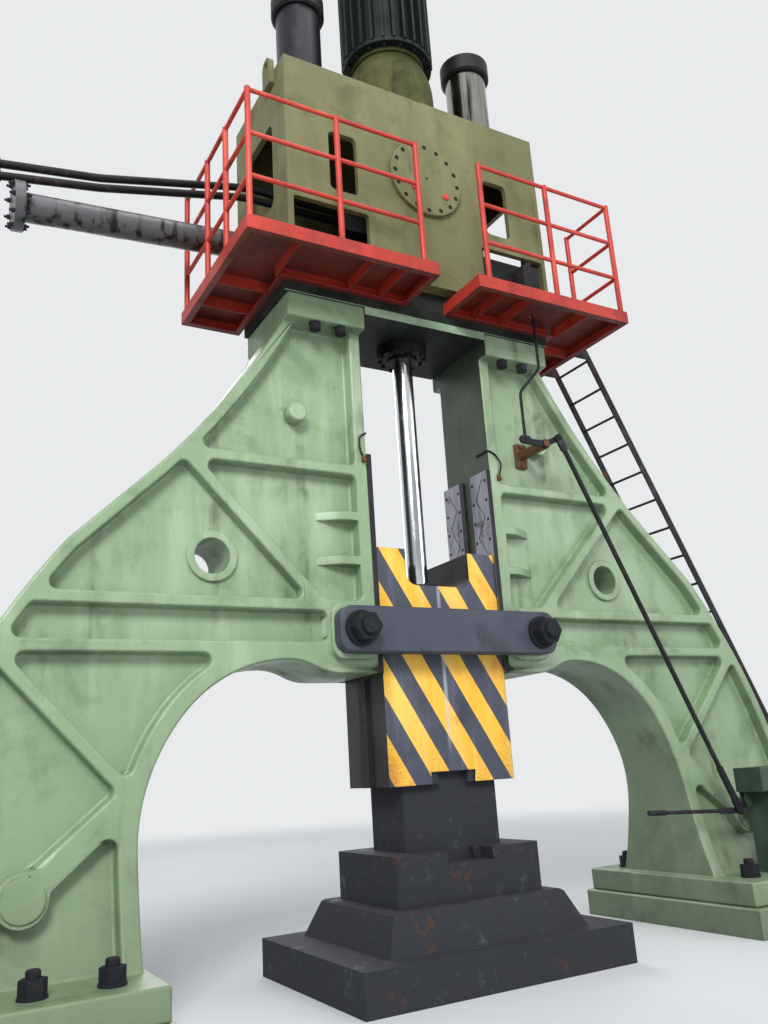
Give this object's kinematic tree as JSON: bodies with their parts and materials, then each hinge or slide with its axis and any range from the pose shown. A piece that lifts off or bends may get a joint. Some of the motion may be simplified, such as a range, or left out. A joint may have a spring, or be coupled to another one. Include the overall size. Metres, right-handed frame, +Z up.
{
  "type": "two-column hydraulic forging hammer",
  "caption": "Arch-framed open-die forging hammer with a striped notched ram on a chrome rod, tie bars, head box, motor, railed platforms and hand-lever valve linkage.",
  "frame": {"origin": "on the floor under the axis of the ram and rod, midway between the two columns", "axes": "+X towards the operator's right column, -Y to the front where the hand lever is, +Z up along the ram's travel"},
  "size_m": [7.8455, 1.785, 8.456],
  "materials": {
    "frame_green": "worn satin paint over rough casting",
    "frame_dark": "dark paint, dull",
    "head_olive": "stained satin paint",
    "bell_olive": "stained satin paint",
    "tie_blue_grey": "dark oily paint",
    "oiled_black": "oily black",
    "dark_fastener": "dark oiled steel",
    "plug_red": "gloss",
    "dark_steel": "dull",
    "motor_green_black": "dull",
    "bottle_blue_grey": "gloss",
    "bottle_chrome": "bright",
    "deck_red": "worn paint",
    "rail_red": "worn paint",
    "ladder_black": "satin",
    "die_steel": "worn steel",
    "pipe_silver": "silver paint",
    "ram_yellow": "satin paint with dark stripes",
    "rod_chrome": "polished",
    "pedestal_green": "satin paint"
  },
  "bodies": {
    "frame": {"left_column": "frame_green", "right_column": "frame_green", "left_sole_plate": "frame_green", "right_sole_plate": "frame_green", "foot_studs": "dark_fastener", "foot_nuts": "dark_fastener", "column_head_bolts": "dark_fastener", "crosshead": "frame_dark", "front_tie_bar": "tie_blue_grey", "rear_tie_bar": "tie_blue_grey", "tie_bolts": "dark_fastener", "tie_washers": "dark_fastener", "tie_nuts": "dark_fastener", "left_guides": "oiled_black", "right_guides": "oiled_black", "guide_bolts": "dark_fastener", "head_box": "head_olive", "inspection_cover": "head_olive", "cover_bolts": "dark_fastener", "cover_plugs": "plug_red", "cylinder": "dark_steel", "gland_flange": "oiled_black", "gland_bolts": "dark_fastener", "valve_block": "dark_steel", "pressure_manifold": "dark_steel", "bell_housing": "bell_olive", "oil_pump": "dark_steel", "motor_housing": "motor_green_black", "fan_cowl": "motor_green_black", "left_accumulator": "bottle_blue_grey", "right_accumulator": "bottle_chrome", "accumulator_caps": "oiled_black", "lifting_lugs": "head_olive", "left_platform": "deck_red", "right_platform": "deck_red", "left_railing": "rail_red", "right_railing": "rail_red", "ladder": "ladder_black", "anvil_block": "dark_steel", "anvil_cap": "dark_steel", "lower_die": "die_steel", "lower_die_keys": "dark_fastener", "return_pipe": "pipe_silver", "pipe_flange_bolts": "dark_fastener", "pressure_pipes": "oiled_black", "pipe_unions": "dark_fastener", "rocker_bracket": "oiled_black", "pedestal": "pedestal_green"},
    "ram": {"ram": "ram_yellow", "ram_guide_strips": "dark_steel", "piston_rod": "rod_chrome", "rod_collar": "dark_steel", "piston": "dark_steel", "upper_die": "die_steel", "upper_die_keys": "dark_fastener"},
    "rotor": {"motor_rotor": "dark_steel"},
    "hand_lever": {"hand_lever": "ladder_black"},
    "push_rod": {"push_rod": "ladder_black"},
    "rocker": {"rocker": "ladder_black"},
    "valve_rod": {"valve_rod": "ladder_black"}
  },
  "joints": [
    {"name": "ram_stroke", "type": "slide", "parent": "frame", "child": "ram", "axis": [0, 0, 1], "range_m": [0, 1.58]},
    {"name": "motor_spin", "type": "hinge", "parent": "frame", "child": "rotor", "pos_m": [0, -0.105, 7.7], "axis": [0, 0, 1], "continuous": true},
    {"name": "hand_lever_tilt", "type": "hinge", "parent": "frame", "child": "hand_lever", "pos_m": [2.55693, -0.528, 0.88973], "axis": [0, 1, 0], "range_deg": [-10, 10]},
    {"name": "push_rod_foot", "type": "hinge", "parent": "hand_lever", "child": "push_rod", "pos_m": [2.436, -0.552, 0.832], "axis": [0, 1, 0], "range_deg": [-10.5, 10.5]},
    {"name": "rocker_tilt", "type": "hinge", "parent": "frame", "child": "rocker", "pos_m": [0.935, -0.528, 3.665], "axis": [0, 1, 0], "range_deg": [-10.5, 10.5]},
    {"name": "valve_travel", "type": "slide", "parent": "frame", "child": "valve_rod", "axis": [0, 0, 1], "range_m": [-0.0385, 0.0385]}
  ],
  "couplings": [
    {"joint": "push_rod_foot", "follows": "hand_lever_tilt", "ratio": -1},
    {"joint": "rocker_tilt", "follows": "hand_lever_tilt", "ratio": -1},
    {"joint": "valve_travel", "follows": "hand_lever_tilt", "m_per_rad": -0.215}
  ]
}
